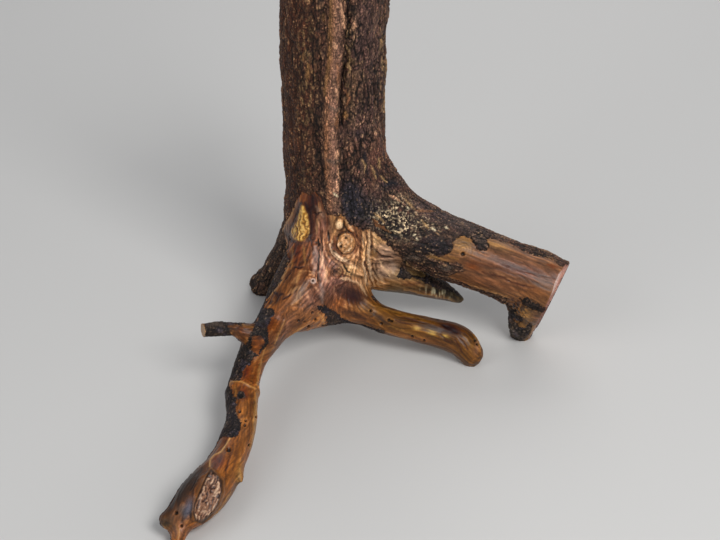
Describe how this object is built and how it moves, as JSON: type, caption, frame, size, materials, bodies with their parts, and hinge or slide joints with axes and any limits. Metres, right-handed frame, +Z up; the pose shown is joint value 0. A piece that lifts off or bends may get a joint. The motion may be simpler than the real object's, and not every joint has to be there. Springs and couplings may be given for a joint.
{
  "type": "tree root",
  "caption": "Base of a small bark-covered tree trunk standing on its spreading cut roots, with the bark stripped to smooth varnished wood at the crown and along the roots.",
  "frame": {"origin": "middle of the footprint, on the ground that the roots stand on", "axes": "+Z up along the trunk, -Y the front, where the long root reaches out, +X towards the thick sawn root"},
  "size_m": [0.4138, 0.5414, 0.42],
  "materials": {
    "bark": "fissured brown bark with a thin satin varnish",
    "wood": "bare root wood under satin varnish"
  },
  "bodies": {
    "root": {"tree_root": "bark"}
  },
  "joints": []
}
